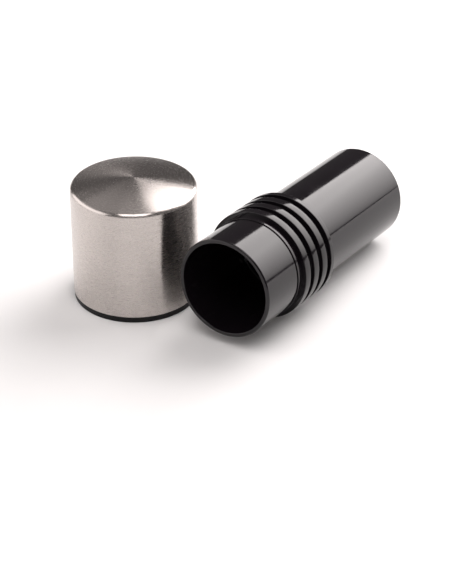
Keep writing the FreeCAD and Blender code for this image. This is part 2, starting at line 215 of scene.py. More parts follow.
class InnerSizes(bpy.types.PropertyGroup):
    sleeve_wall: size("Sleeve wall", 1.6 * MM, "Wall of the drive sleeve")
    flange: size("Flange", 2.0 * MM, "Thickness of the drive sleeve's flange")
    slot_width: size("Slot width", 4.4 * MM, "Width of the slots that the presser's lugs run in")
    slot_end_wall: size("Slot end wall", 3.9 * MM, "Solid length after the slots")
    clip_groove: size("Clip groove", 0.8 * MM, "Width of the groove for the collar's clip")
    clip_depth: size("Clip depth", 0.5 * MM, "Depth of the groove for the collar's clip")
    screw_hole: size("Screw hole", 1.05 * MM, "Radius of the flange's screw holes")
    screw_sink: size("Screw sink", 1.85 * MM, "Radius of the sinks for the screws' heads")
    sink_depth: size("Sink depth", 0.9 * MM, "Depth of the sinks")
    run_fit: size("Running fit", 0.06 * MM, "Radial play of the collar on the drive sleeve")
    cord: size("Friction cord", 0.55 * MM, "Radius of the friction ring's cord")
    cord_play: size("Cord play", 0.15 * MM, "Play of the cord at each side of its groove")
    slide_gap: size("Slide gap", 0.2 * MM, "Gap at each side of a lug")
    nose_step: size("Nose step", 0.4 * MM, "Step from the presser's skirt to its nose")
    presser_wall: size("Presser wall", 2.5 * MM, "Wall of the presser")
    presser_face: size("Presser face", 2.0 * MM, "Thickness of the presser's closed end")
    boss: size("Presser boss", 3.2 * MM, "Radius of the boss for the presser's screw")
    boss_height: size("Boss height", 3.0 * MM, "Height of the boss for the presser's screw")
    plate: size("Prong plate", 0.8 * MM, "Thickness of the prong plate")
    prong_width: size("Prong width", 2.4 * MM, "Width of a prong at its root")
    inner_prongs: IntProperty(name="Inner prongs", description="Prongs in the inner ring", default=6, min=1)
    outer_prongs: IntProperty(name="Outer prongs", description="Prongs in the outer ring", default=10, min=1)
    plate_hole: size("Plate hole", 1.55 * MM, "Radius of the prong plate's hole")
    wire: size("Spring wire", 0.7 * MM, "Radius of the spring's wire")
    turns: IntProperty(name="Spring turns", description="Turns of the pressure spring", default=8, min=1)
    blade_screw: size("Blade screw", 0.65 * MM, "Radius of the blade ring's screws")
    blade_head: size("Blade screw head", 1.15 * MM, "Radius of the blade ring's screw heads")
    head_height: size("Head height", 0.8 * MM, "Height of the blade ring's screw heads")
    small_edge: size("Small edge", 0.3 * MM, "Rounding of small moulded edges")
    gap: size("Gap", 0.3 * MM, "Gap between pieces that rest together")


class Finishes(bpy.types.PropertyGroup):
    gloss: colour("Gloss black", (0.0060, 0.0044, 0.0060), "Polished moulding of the mill")
    inner: colour("Inner plastic", (0.045, 0.045, 0.048), "Satin mouldings inside")
    bearing: colour("Bearing plastic", (0.72, 0.70, 0.64), "Natural bearing plastic")
    steel: colour("Cap steel", (0.585, 0.54, 0.515), "Brushed steel of the cap")
    bright_steel: colour("Small steel", (0.56, 0.555, 0.55), "Screws, wire and blade")
    rubber: colour("Rubber", (0.018, 0.018, 0.018), "Rings, gasket and pad")
    floor: colour("Floor", (0.82, 0.82, 0.82), "Pale floor")


class StageSettings(bpy.types.PropertyGroup):
    camera_place: FloatVectorProperty(
        name="Camera from mouth",
        description="Place of the camera, measured from under the mill's mouth",
        default=(-0.5962, -0.3914, 0.4598),
        size=3,
        subtype="TRANSLATION",
    )
    heading: angle("Heading", 33.21, "Camera heading from +X towards +Y")
    pitch: angle("Pitch", 31.28, "Angle that the camera looks down")
    lens: number("Lens", 118.77, "Focal length in millimetres on a 36 mm frame")
    floor_radius: size("Floor radius", 1.2, "Radius of the floor")
    floor_thickness: size("Floor thickness", 0.02, "Thickness of the floor")
    room_low: number("Room low", 0.09, "Brightness of the room near the floor")
    room_high: number("Room high", 0.15, "Brightness of the room overhead")


# Modelling steps

def clear_selection():
    if bpy.context.object and bpy.context.object.mode != "OBJECT":
        bpy.ops.object.mode_set(mode="OBJECT")
    bpy.ops.object.select_all(action="DESELECT")


def only(piece):
    """Selects one piece alone and makes it active."""
    clear_selection()
    piece.select_set(True)
    bpy.context.view_layer.objects.active = piece


def pick_ring(radius, height):
    """Selects the ring of edges at one radius and height of the piece in edit mode."""
    shape = bmesh.from_edit_mesh(bpy.context.object.data)
    bpy.ops.mesh.select_all(action="DESELECT")
    for edge in shape.edges:
        on_ring = all(
            abs(corner.co.z - height) < SAME_PLACE
            and abs(math.hypot(corner.co.x, corner.co.y) - radius) < SAME_PLACE
            for corner in edge.verts
        )
        if on_ring:
            edge.select_set(True)
    bmesh.update_edit_mesh(bpy.context.object.data)


def pick_faces(test):
    """Selects the faces whose normal passes a test, in the piece in edit mode."""
    bpy.ops.mesh.select_mode(type="FACE")
    bpy.ops.mesh.select_all(action="DESELECT")
    shape = bmesh.from_edit_mesh(bpy.context.object.data)
    shape.normal_update()
    for face in shape.faces:
        if test(face.normal):
            face.select_set(True)
    bmesh.update_edit_mesh(bpy.context.object.data)


def corner_reach(before, corner, after, rounding):
    """How far along its sides a corner's rounding reaches."""
    back = Vector((before[0] - corner[0], before[1] - corner[1])).normalized()
    ahead = Vector((after[0] - corner[0], after[1] - corner[1])).normalized()
    half = back.angle(ahead) / 2
    return rounding / math.tan(half)


def turned(name, corners, steps=LARGE_STEPS, edge_steps=EDGE_STEPS):
    """Turns a closed outline of (radius, height, rounding) corners about Z, ring by ring.

    An outline that meets the axis is taken from the axis round to the axis again.
    """
    for i, corner in enumerate(corners):
        if corner[0] == 0 and corners[i - 1][0] == 0:
            corners = corners[i:] + corners[:i]
            break
    rings = [corner for corner in corners if corner[0] > 0]
    meets_axis = len(rings) < len(corners)
    clear_selection()
    first = rings[0]
    bpy.ops.mesh.primitive_circle_add(vertices=steps, radius=first[0], location=(0, 0, first[1]))
    piece = bpy.context.object
    piece.name = name
    bpy.ops.object.transform_apply(location=True, rotation=True, scale=True)
    bpy.ops.object.mode_set(mode="EDIT")
    bpy.ops.mesh.select_mode(type="EDGE")
    bpy.ops.mesh.select_all(action="SELECT")
    stops = rings[1:] if meets_axis else rings[1:] + [first]
    radius, height = first[0], first[1]
    for stop in stops:
        bpy.ops.mesh.extrude_region_move(TRANSFORM_OT_translate={"value": (0, 0, stop[1] - height)})
        scale = stop[0] / radius
        if abs(scale - 1) > 1e-9:
            bpy.ops.transform.resize(value=(scale, scale, 1), center_override=(0, 0, stop[1]))
        radius, height = stop[0], stop[1]
    bpy.ops.mesh.select_all(action="SELECT")
    bpy.ops.mesh.remove_doubles(threshold=SAME_PLACE / 4)
    if meets_axis:
        for end in (rings[0], rings[-1]):
            pick_ring(end[0], end[1])
            bpy.ops.mesh.edge_face_add()
    for i, corner in enumerate(corners):
        if corner[2] > 0:
            before, after = corners[i - 1], corners[(i + 1) % len(corners)]
            pick_ring(corner[0], corner[1])
            width = corner_reach(before, corner, after, corner[2])
            segments = max(edge_steps, round(width / STEP_WIDTH))
            bpy.ops.mesh.bevel(offset=width, segments=segments, profile=0.5, affect="EDGES")
    bpy.ops.mesh.select_all(action="SELECT")
    bpy.ops.mesh.normals_make_consistent(inside=False)
    bpy.ops.object.mode_set(mode="OBJECT")
    return piece


def rod(name, radius, low, high, x=0.0, y=0.0, steps=SMALL_STEPS):
    """Upright rod, to be joined to a piece or cut from it."""
    clear_selection()
    middle = (x, y, (low + high) / 2)
    bpy.ops.mesh.primitive_cylinder_add(vertices=steps, radius=radius, depth=high - low, location=middle)
    piece = bpy.context.object
    piece.name = name
    bpy.ops.object.transform_apply(location=True, rotation=True, scale=True)
    return piece


def block(name, low, high):
    """Block between two corners, to be joined to a piece or cut from it."""
    clear_selection()
    middle = [(a + b) / 2 for a, b in zip(low, high)]
    bpy.ops.mesh.primitive_cube_add(size=1, location=middle)
    piece = bpy.context.object
    piece.name = name
    piece.scale = [b - a for a, b in zip(low, high)]
    bpy.ops.object.transform_apply(location=True, rotation=True, scale=True)
    return piece


def around(piece, count, start=0.0):
    """The piece and its copies, evenly spaced about Z, each with its own mesh."""
    copies = []
    for i in range(count):
        only(piece)
        bpy.ops.object.duplicate(linked=False)
        copy = bpy.context.object
        copy.rotation_euler.z = start + i * 2 * math.pi / count
        bpy.ops.object.transform_apply(location=False, rotation=True, scale=False)
        copies.append(copy)
    bpy.data.objects.remove(piece)
    return copies


def combine(piece, others, operation):
    """Joins the others to the piece, or cuts them from it."""
    for other in others:
        only(piece)
        step = piece.modifiers.new("combine", "BOOLEAN")
        step.operation = operation
        step.solver = "EXACT"
        step.object = other
        bpy.ops.object.modifier_apply(modifier=step.name)
        bpy.data.objects.remove(other)
    return piece


def join(pieces, name):
    """Makes one object of several separate ones."""
    clear_selection()
    for piece in pieces:
        piece.select_set(True)
    bpy.context.view_layer.objects.active = pieces[0]
    bpy.ops.object.join()
    joined = bpy.context.object
    joined.name = name
    return joined


def settle(piece, place):
    """Moves a piece to its place, with the place in its mesh."""
    only(piece)
    piece.matrix_world = place
    bpy.ops.object.transform_apply(location=True, rotation=True, scale=True)


def smooth(piece):
    """Smooth shading, sharp at corners, with flat faces kept flat."""
    only(piece)
    bpy.ops.object.shade_smooth_by_angle(angle=SHARP_ANGLE)
    step = piece.modifiers.new("even shading", "WEIGHTED_NORMAL")
    step.keep_sharp = True
    step.weight = LARGE_FACE_WEIGHT
    bpy.ops.object.modifier_apply(modifier=step.name)


def hand_over(piece, node, body, slot):
    """Puts a finished piece in its place, with its material, its body and the node that it stands for."""
    settle(piece, STOOD_UP if body == "cap" else LAID_DOWN)
    smooth(piece)
    piece.data.materials.clear()
    piece.data.materials.append(material(slot))
    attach(piece, body)
    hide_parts(node)


# Node groups

def new_group(name, inputs, outputs):
    """An empty node group with named float or vector sockets."""
    group = bpy.data.node_groups.new(name, "ShaderNodeTree")
    for label, kind, value in inputs:
        socket = group.interface.new_socket(name=label, in_out="INPUT", socket_type=kind)
        if value is not None:
            socket.default_value = value
    for label, kind in outputs:
        group.interface.new_socket(name=label, in_out="OUTPUT", socket_type=kind)
    return group


def feed(tree, socket, value):
    """Sets an input to a value, or links it to another node's output."""
    if isinstance(value, bpy.types.NodeSocket):
        tree.links.new(value, socket)
    else:
        socket.default_value = value


def add(tree, kind, settings=None, inputs=None):
    """A node with its settings and inputs. An input is a value or another node's output."""
    node = tree.nodes.new(kind)
    for key, value in (settings or {}).items():
        setattr(node, key, value)
    for key, value in (inputs or {}).items():
        feed(tree, node.inputs[key], value)
    return node


def maths(tree, operation, first, second=0.0):
    return add(tree, "ShaderNodeMath", {"operation": operation}, {0: first, 1: second}).outputs[0]


def between(tree, value, low, high, to_low=0.0, to_high=1.0):
    """Maps a value from one range to another, held within it."""
    inputs = {"Value": value, "From Min": low, "From Max": high, "To Min": to_low, "To Max": to_high}
    return add(tree, "ShaderNodeMapRange", {"clamp": True}, inputs).outputs["Result"]


def spread(tree, value, to_low=0.0, to_high=1.0):
    """Spreads a noise's usual values over a whole range."""
    return between(tree, value, 0.3, 0.7, to_low, to_high)


def noise(tree, vector, scale, detail=2.0, roughness=0.5):
    inputs = {"Vector": vector, "Scale": scale, "Detail": detail, "Roughness": roughness}
    return add(tree, "ShaderNodeTexNoise", {}, inputs).outputs["Fac"]


VALUE = "NodeSocketFloat"
VECTOR = "NodeSocketVector"

# Turned lines are drawn no nearer to the axis than this, and there are fewer bands than lines
NEAREST_AXIS = 0.5 * MM
BANDS_PER_LINE = 0.07

# Each speck of dust fills a share of the way to the next, and specks show where a broad noise is high
SPECKS_PER_METRE = 700.0
SPECK_REACH = 0.10
GATHERING_SCALE = 150.0
GATHERING_LEVEL = 0.62

# There are fewer dull patches than grains
PATCHES_PER_GRAIN = 0.08


def turned_grain_group():
    """Fine lines left by turning and brushing round an upright axis."""
    group = new_group(
        "Turned grain",
        [("Vector", VECTOR, None), ("Lines per metre", VALUE, 900.0), ("Streaks", VALUE, 5.0)],
        [("Grain", VALUE), ("Bands", VALUE)],
    )
    given = add(group, "NodeGroupInput")
    x, y, z = add(group, "ShaderNodeSeparateXYZ", {}, {0: given.outputs["Vector"]}).outputs
    squares = [maths(group, "MULTIPLY", side, side) for side in (x, y)]
    radius = maths(group, "SQRT", maths(group, "ADD", *squares))
    radius = maths(group, "MAXIMUM", radius, NEAREST_AXIS)
    turn_x = maths(group, "DIVIDE", x, radius)
    turn_y = maths(group, "DIVIDE", y, radius)
    around_x = maths(group, "MULTIPLY", turn_x, given.outputs["Streaks"])
    around_y = maths(group, "MULTIPLY", turn_y, given.outputs["Streaks"])
    across = maths(group, "SUBTRACT", z, radius)
    lines = maths(group, "MULTIPLY", across, given.outputs["Lines per metre"])
    fine = add(group, "ShaderNodeCombineXYZ", {}, {0: around_x, 1: around_y, 2: lines})
    wide_lines = maths(group, "MULTIPLY", lines, BANDS_PER_LINE)
    broad = add(group, "ShaderNodeCombineXYZ", {}, {0: turn_x, 1: turn_y, 2: wide_lines})
    put = add(group, "NodeGroupOutput")
    grain = noise(group, fine.outputs[0], scale=1.0, detail=5.0, roughness=0.75)
    bands = noise(group, broad.outputs[0], scale=1.5, detail=3.0, roughness=0.6)
    group.links.new(grain, put.inputs["Grain"])
    group.links.new(bands, put.inputs["Bands"])
    return group


def moulded_skin_group():
    """Faint waviness, haze and dust of a moulded surface."""
    inputs = [
        ("Vector", VECTOR, None),
        ("Peel scale", VALUE, 260.0),
        ("Haze scale", VALUE, 60.0),
        ("Dust", VALUE, 0.5),
    ]
    group = new_group("Moulded skin", inputs, [("Peel", VALUE), ("Haze", VALUE), ("Dust", VALUE)])
    given = add(group, "NodeGroupInput")
    vector = given.outputs["Vector"]
    peel = noise(group, vector, given.outputs["Peel scale"])
    haze = noise(group, vector, given.outputs["Haze scale"], detail=4.0, roughness=0.6)
    placing = {"Vector": vector, "Scale": SPECKS_PER_METRE}
    specks = add(group, "ShaderNodeTexVoronoi", {"feature": "F1"}, placing)
    near = between(group, specks.outputs["Distance"], 0.0, SPECK_REACH, 1.0, 0.0)
    gathering = noise(group, vector, GATHERING_SCALE, detail=1.0)
    gathered = maths(group, "GREATER_THAN", gathering, GATHERING_LEVEL)
    dust = maths(group, "MULTIPLY", maths(group, "MULTIPLY", near, gathered), given.outputs["Dust"])
    put = add(group, "NodeGroupOutput")
    group.links.new(peel, put.inputs["Peel"])
    group.links.new(haze, put.inputs["Haze"])
    group.links.new(dust, put.inputs["Dust"])
    return group


def plain_grain_group():
    """Fine even grain for rubber, satin plastic and small steel."""
    group = new_group(
        "Plain grain",
        [("Vector", VECTOR, None), ("Scale", VALUE, 1500.0)],
        [("Grain", VALUE), ("Patches", VALUE)],
    )
    given = add(group, "NodeGroupInput")
    vector = given.outputs["Vector"]
    fine = given.outputs["Scale"]
    wide = maths(group, "MULTIPLY", fine, PATCHES_PER_GRAIN)
    put = add(group, "NodeGroupOutput")
    for scale, label in ((fine, "Grain"), (wide, "Patches")):
        group.links.new(noise(group, vector, scale, detail=3.0, roughness=0.6), put.inputs[label])
    return group


# Materials

def new_material(name):
    material = bpy.data.materials.new(name)
    material.use_nodes = True
    return material, material.node_tree, material.node_tree.nodes["Principled BSDF"]


def placed_vector(tree, centre=(0, 0, 0)):
    """Object coordinates measured from a centre."""
    coordinates = add(tree, "ShaderNodeTexCoord")
    inputs = {"Vector": coordinates.outputs["Object"], "Location": centre}
    return add(tree, "ShaderNodeMapping", {"vector_type": "TEXTURE"}, inputs).outputs["Vector"]


def placed_group(tree, group, inputs):
    return add(tree, "ShaderNodeGroup", {"node_tree": group}, inputs).outputs


def mixed(tree, share, first, second):
    """Colour between two colours. A colour is three numbers or a socket."""
    colours = [value if isinstance(value, bpy.types.NodeSocket) else (*value, 1) for value in (first, second)]
    inputs = {"Factor": share, 6: colours[0], 7: colours[1]}
    return add(tree, "ShaderNodeMix", {"data_type": "RGBA"}, inputs).outputs[2]


def shade(value, factor):
    """A colour made darker or lighter."""
    return tuple(min(1.0, channel * factor) for channel in value)


def mottled(tree, mask, base, darkest, lightest):
    """A colour that runs between two shades of itself with a noise."""
    return mixed(tree, spread(tree, mask), shade(base, darkest), shade(base, lightest))


def bump(tree, height, strength, depth):
    inputs = {"Strength": strength, "Distance": depth, "Height": height}
    return add(tree, "ShaderNodeBump", {}, inputs).outputs["Normal"]


DUST_COLOUR = (0.30, 0.29, 0.28)
DUST_ROUGHNESS = 0.5


def gloss_plastic(name, base, groups, roughness=(0.07, 0.13), dust=0.35):
    """Polished moulding: nearly black, with haze, faint waves and a little dust."""
    material, tree, shader = new_material(name)
    skin = placed_group(tree, groups["skin"], {"Vector": placed_vector(tree), "Dust": dust})
    tinted = mottled(tree, skin["Haze"], base, darkest=0.8, lightest=1.25)
    tree.links.new(mixed(tree, skin["Dust"], tinted, DUST_COLOUR), shader.inputs["Base Color"])
    rough = spread(tree, skin["Haze"], *roughness)
    rough = maths(tree, "ADD", rough, maths(tree, "MULTIPLY", skin["Dust"], DUST_ROUGHNESS))
    tree.links.new(rough, shader.inputs["Roughness"])
    tree.links.new(bump(tree, skin["Peel"], strength=0.10, depth=0.02 * MM), shader.inputs["Normal"])
    shader.inputs["IOR"].default_value = 1.43
    return material


def satin_plastic(name, base, groups, scale=1800.0, roughness=(0.36, 0.52), depth=0.02 * MM, shine=0.5):
    """Satin moulding or rubber, with an even grain."""
    material, tree, shader = new_material(name)
    grain = placed_group(tree, groups["plain"], {"Vector": placed_vector(tree), "Scale": scale})
    tinted = mottled(tree, grain["Patches"], base, darkest=0.82, lightest=1.18)
    tree.links.new(tinted, shader.inputs["Base Color"])
    tree.links.new(spread(tree, grain["Grain"], *roughness), shader.inputs["Roughness"])
    tree.links.new(bump(tree, grain["Grain"], strength=0.35, depth=depth), shader.inputs["Normal"])
    shader.inputs["Specular IOR Level"].default_value = shine
    return material


def small_steel(name, base, groups, scale, roughness):
    """Plain steel of screws, wire and sheet, with fine scratches and dull patches."""
    material, tree, shader = new_material(name)
    grain = placed_group(tree, groups["plain"], {"Vector": placed_vector(tree), "Scale": scale})
    tinted = mottled(tree, grain["Patches"], base, darkest=0.8, lightest=1.1)
    tree.links.new(tinted, shader.inputs["Base Color"])
    tree.links.new(between(tree, grain["Grain"], 0.25, 0.75, *roughness), shader.inputs["Roughness"])
    tree.links.new(bump(tree, grain["Grain"], strength=0.15, depth=0.01 * MM), shader.inputs["Normal"])
    shader.inputs["Metallic"].default_value = 1.0
    return material


# The side's finish goes over to the top's where the normal's rise passes through this range
TOP_RISE = (0.6, 0.9)
SIDE_ROUGHNESS = (0.20, 0.34)
TOP_ROUGHNESS = (0.20, 0.30)
BAND_STRENGTH = 0.35


def cap_steel_material(base, groups):
    """Brushed round the side and spun in rings on the top."""
    material, tree, shader = new_material("Brushed steel")
    vector = placed_vector(tree, centre=tuple(CAP))
    brushing = {"Vector": vector, "Lines per metre": 3000.0, "Streaks": 11.0}
    brushed = placed_group(tree, groups["turned"], brushing)
    facing = add(tree, "ShaderNodeTexCoord")
    upward = add(tree, "ShaderNodeSeparateXYZ", {}, {0: facing.outputs["Normal"]}).outputs[2]
    on_top = between(tree, upward, *TOP_RISE)
    grain = between(tree, brushed["Grain"], 0.28, 0.72)
    streaked = mixed(tree, grain, shade(base, 0.86), shade(base, 1.12))
    faint_bands = spread(tree, brushed["Bands"], 0.0, BAND_STRENGTH)
    tree.links.new(mixed(tree, faint_bands, streaked, shade(base, 0.9)), shader.inputs["Base Color"])
    side_rough = between(tree, grain, 0.0, 1.0, *SIDE_ROUGHNESS)
    top_rough = between(tree, grain, 0.0, 1.0, *TOP_ROUGHNESS)
    picked = add(tree, "ShaderNodeMix", {}, {"Factor": on_top, "A": side_rough, "B": top_rough})
    tree.links.new(picked.outputs["Result"], shader.inputs["Roughness"])
    tree.links.new(bump(tree, brushed["Grain"], strength=0.15, depth=0.008 * MM), shader.inputs["Normal"])
    shader.inputs["Metallic"].default_value = 1.0
    shader.inputs["Anisotropic"].default_value = 0.85
    shader.inputs["Anisotropic Rotation"].default_value = 0.25
    tangent = add(tree, "ShaderNodeTangent", {"direction_type": "RADIAL", "axis": "Z"})
    tree.links.new(tangent.outputs["Tangent"], shader.inputs["Tangent"])
    return material


def floor_material(base, groups):
    """Smooth pale board with the faintest mottling."""
    material, tree, shader = new_material("Pale floor")
    grain = placed_group(tree, groups["plain"], {"Vector": placed_vector(tree), "Scale": 300.0})
    tinted = mottled(tree, grain["Patches"], base, darkest=0.985, lightest=1.0)
    tree.links.new(tinted, shader.inputs["Base Color"])
    tree.links.new(spread(tree, grain["Grain"], 0.75, 0.85), shader.inputs["Roughness"])
    return material


def make_materials(finishes):
    """All finishes of the mill, by the record's slot names."""
    groups = {"turned": turned_grain_group(), "skin": moulded_skin_group(), "plain": plain_grain_group()}
    gloss = tuple(finishes.gloss)
    rubber = tuple(finishes.rubber)
    # The liner's black is the rubber's made darker still. Part of this is its own colour and part is painted
    # shade, for the contact shade on its foot under the steel.
    liner = shade(rubber, 0.3)
    bright = tuple(finishes.bright_steel)
    wire = shade(bright, 0.85)
    sheet = shade(bright, 1.05)
    return {
        "gloss_black": gloss_plastic("Gloss black", gloss, groups),
        "grip_black": gloss_plastic("Grip black", gloss, groups, roughness=(0.08, 0.14)),
        "inner_plastic": satin_plastic("Inner plastic", tuple(finishes.inner), groups),
        "bearing_plastic": satin_plastic("Bearing plastic", tuple(finishes.bearing), groups, scale=1200.0),
        "liner_black": satin_plastic(
            "Liner black", liner, groups, scale=1500.0, roughness=(0.34, 0.46), shine=0.2
        ),
        "black_rubber": satin_plastic(
            "Black rubber", rubber, groups, scale=2500.0, roughness=(0.62, 0.8), depth=0.04 * MM
        ),
        "screw_steel": small_steel("Screw steel", bright, groups, scale=2500.0, roughness=(0.2, 0.34)),
        "spring_steel": small_steel("Spring steel", wire, groups, scale=3000.0, roughness=(0.16, 0.3)),
        "blade_steel": small_steel("Blade steel", sheet, groups, scale=2000.0, roughness=(0.18, 0.32)),
        "brushed_steel": cap_steel_material(tuple(finishes.steel), groups),
        "floor": floor_material(tuple(finishes.floor), groups),
    }


MATERIALS = {}


def material(slot):
    """The finish of one slot. All finishes are made when the first is asked for."""
    if not MATERIALS:
        MATERIALS.update(make_materials(bpy.context.scene.mill_finishes))
    return MATERIALS[slot]


# Pieces of the mill

def make_storage_body(sizes):
    """Storage tube, stepped in to its waist under the grip."""
    waist = BODY.outer - sizes.waist
    bore = BODY.outer - sizes.mouth_wall
    back = SLEEVE.low
    floor_top = back - sizes.floor
    bore_end = bore - sizes.draft
    piece = turned(
        "storage_body_dressed",
        [
            (0, back, 0),
            (waist, back, 0),
            (waist, sizes.mouth_length, 0),
            (BODY.outer, sizes.mouth_length, 0),
            (BODY.outer, 0, sizes.mouth_edge),
            (bore, 0, sizes.mouth_edge / 2),
            (bore_end, floor_top, sizes.mouth_wall / 2),
            (0, floor_top, 0),
        ],
    )
    hand_over(piece, "storage_body", "mill_front", "gloss_black")


def make_grip_sleeve(sizes):
    """Ribbed sleeve, with a lip round the rear tube."""
    rib = GRIP.outer
    groove = rib - sizes.groove_depth
    bore = BODY.outer - sizes.waist + sizes.gap
    lip_bore = REAR.outer + sizes.gap
    lip_start = GRIP.high - sizes.lip_length
    corners = [(bore, GRIP.low, 0), (groove, GRIP.low, sizes.rib_edge / 2)]
    for i in range(sizes.rib_count):
        low = GRIP.low + sizes.land + i * (sizes.rib_width + sizes.groove_width)
        high = low + sizes.rib_width
        corners += [(groove, low, 0), (rib - sizes.rib_fall, low, sizes.rib_edge)]
        corners += [(rib, (low + high) / 2, 0), (rib, high, sizes.rib_edge), (groove, high, 0)]
    low = GRIP.high - sizes.end_ring
    corners += [(groove, low, 0), (rib, low, sizes.rib_edge), (rib, GRIP.high, sizes.rib_edge)]
    corners += [(lip_bore, GRIP.high, 0), (lip_bore, lip_start, 0), (bore, lip_start, 0)]
    piece = turned("grip_sleeve_dressed", corners)
    hand_over(piece, "grip_sleeve", "mill_front", "grip_black")


def make_rear_tube(sizes):
    """Tube that is twisted by hand, with the blade's shelf and the rim round it."""
    outer = REAR.outer
    bore = outer - sizes.tube_wall
    mouth_bore = bore + sizes.counterbore
    collar_back = reach("bearing_collar").high + sizes.gap
    rim = outer - sizes.rim_wall
    shelf_back = REAR.high - sizes.rim_depth
    shelf_front = shelf_back - sizes.shelf_length
    shelf = rim - sizes.shelf_width
    piece = turned(
        "rear_tube_dressed",
        [
            (mouth_bore, REAR.low, 0),
            (outer, REAR.low, sizes.small_edge),
            (outer, REAR.high, sizes.tube_edge),
            (rim, REAR.high, sizes.small_edge),
            (rim, shelf_back, 0),
            (shelf, shelf_back, 0),
            (shelf, shelf_front, 0),
            (bore, shelf_front, 0),
            (bore, collar_back, 0),
            (mouth_bore, collar_back, 0),
        ],
    )
    hand_over(piece, "rear_tube", "mill_rear", "gloss_black")


# Pieces inside the mill

def cord_outline(middle_radius, middle_height, cord):
    """Round section of a rubber ring, as outline corners."""
    turns = [i * 2 * math.pi / CORD_STEPS for i in range(CORD_STEPS)]
    return [(middle_radius + cord * math.cos(a), middle_height + cord * math.sin(a), 0) for a in turns]


def make_drive_sleeve(sizes):
    """Slotted tube with a flange that three sunk screws hold."""
    chamber = SLEEVE.inner
    outer = chamber + sizes.sleeve_wall
    flange_back = SLEEVE.low + sizes.flange
    groove = reach("bearing_collar").high + sizes.gap
    piece = turned(
        "drive_sleeve_dressed",
        [
            (chamber, SLEEVE.low, 0),
            (SLEEVE.outer, SLEEVE.low, 0),
            (SLEEVE.outer, flange_back, 0),
            (outer, flange_back, 0),
            (outer, groove, 0),
            (outer - sizes.clip_depth, groove, 0),
            (outer - sizes.clip_depth, groove + sizes.clip_groove, 0),
            (outer, groove + sizes.clip_groove, 0),
            (outer, SLEEVE.high, 0),
            (chamber, SLEEVE.high, 0),
        ],
        steps=INNER_STEPS,
    )
    half = sizes.slot_width / 2
    slot_end = SLEEVE.high - sizes.slot_end_wall
    slot = block("slot", (chamber / 2, -half, SLEEVE.low - sizes.gap), (outer + sizes.gap, half, slot_end))
    place = (outer + SLEEVE.outer) / 2
    hole = rod("hole", sizes.screw_hole, SLEEVE.low - sizes.gap, flange_back + sizes.gap, place)
    sink = rod("sink", sizes.screw_sink, flange_back - sizes.sink_depth, flange_back + sizes.gap, place)
    combine(piece, around(slot, THIRDS), "DIFFERENCE")
    combine(piece, around(hole, THIRDS, math.pi / THIRDS), "DIFFERENCE")
    combine(piece, around(sink, THIRDS, math.pi / THIRDS), "DIFFERENCE")
    hand_over(piece, "drive_sleeve", "mill_front", "inner_plastic")


def make_bearing_collar(sizes):
    """Collar with the groove for its friction ring."""
    collar = reach("bearing_collar")
    bore = SLEEVE.inner + sizes.sleeve_wall + sizes.run_fit
    middle = (collar.low + collar.high) / 2
    half = sizes.cord + sizes.cord_play
    floor = collar.outer - 2 * sizes.cord
    piece = turned(
        "bearing_collar_dressed",
        [
            (bore, collar.low, 0),
            (collar.outer, collar.low, sizes.small_edge),
            (collar.outer, middle - half, 0),
            (floor, middle - half, 0),
            (floor, middle + half, 0),
            (collar.outer, middle + half, 0),
            (collar.outer, collar.high, sizes.small_edge),
            (bore, collar.high, 0),
        ],
        steps=INNER_STEPS,
    )
    hand_over(piece, "bearing_collar", "bearing", "bearing_plastic")


def make_friction_ring(sizes):
    """Rubber ring in the collar's groove."""
    ring = reach("friction_ring")
    middle = (ring.low + ring.high) / 2
    corners = cord_outline(ring.outer - sizes.cord, middle, sizes.cord)
    piece = turned("friction_ring_dressed", corners, steps=INNER_STEPS)
    hand_over(piece, "friction_ring", "bearing", "black_rubber")


def make_presser(sizes):
    """Hollow piston with three lugs and a boss for its screw."""
    presser = reach("presser")
    skirt = SLEEVE.inner - sizes.gap
    nose = skirt - sizes.nose_step
    well = nose - sizes.presser_wall
    lug_back = SLEEVE.high - sizes.slot_end_wall - sizes.gap
    face = presser.high - sizes.presser_face
    piece = turned(
        "presser_dressed",
        [
            (well, presser.low, 0),
            (skirt, presser.low, sizes.small_edge),
            (skirt, lug_back, sizes.small_edge),
            (nose, lug_back, 0),
            (nose, presser.high, sizes.small_edge),
            (0, presser.high, 0),
            (0, face, 0),
            (well, face, 0),
        ],
        steps=INNER_STEPS,
    )
    half = sizes.slot_width / 2 - sizes.slide_gap
    inner = well + sizes.presser_wall / 2
    lug = block("lug", (inner, -half, presser.low), (presser.outer, half, lug_back - sizes.small_edge))
    boss = rod("boss", sizes.boss, face - sizes.boss_height, face + sizes.gap)
    hole = rod("hole", sizes.plate_hole, face - 2 * sizes.boss_height / 3, presser.high + sizes.gap)
    combine(piece, around(lug, THIRDS) + [boss], "UNION")
    combine(piece, [hole], "DIFFERENCE")
    hand_over(piece, "presser", "presser_unit", "inner_plastic")


# A face whose normal rises more than this looks up, and a prong's tip is this share of its root
UPWARD = 0.9
PRONG_TIP = 0.02


def make_prong_plate(sizes):
    """Steel plate with an inner and an outer ring of bent prongs."""
    plate = reach("prong_plate")
    top = plate.low + sizes.plate
    piece = turned(
        "prong_plate_dressed",
        [
            (sizes.plate_hole, plate.low, 0),
            (plate.outer, plate.low, 0),
            (plate.outer, top, 0),
            (sizes.plate_hole, top, 0),
        ],
        steps=INNER_STEPS,
    )
    rings = ((sizes.inner_prongs, plate.outer / 2), (sizes.outer_prongs, plate.outer - sizes.plate))
    half = sizes.prong_width / 2
    for count, place in rings:
        prong = block("prong", (place - sizes.plate, -half, top - sizes.plate / 2), (place, half, plate.high))
        bpy.ops.object.mode_set(mode="EDIT")
        pick_faces(lambda normal: normal.z > UPWARD)
        bpy.ops.transform.resize(value=(1, PRONG_TIP, 1))
        bpy.ops.object.mode_set(mode="OBJECT")
        combine(piece, around(prong, count), "UNION")
    hand_over(piece, "prong_plate", "presser_unit", "blade_steel")


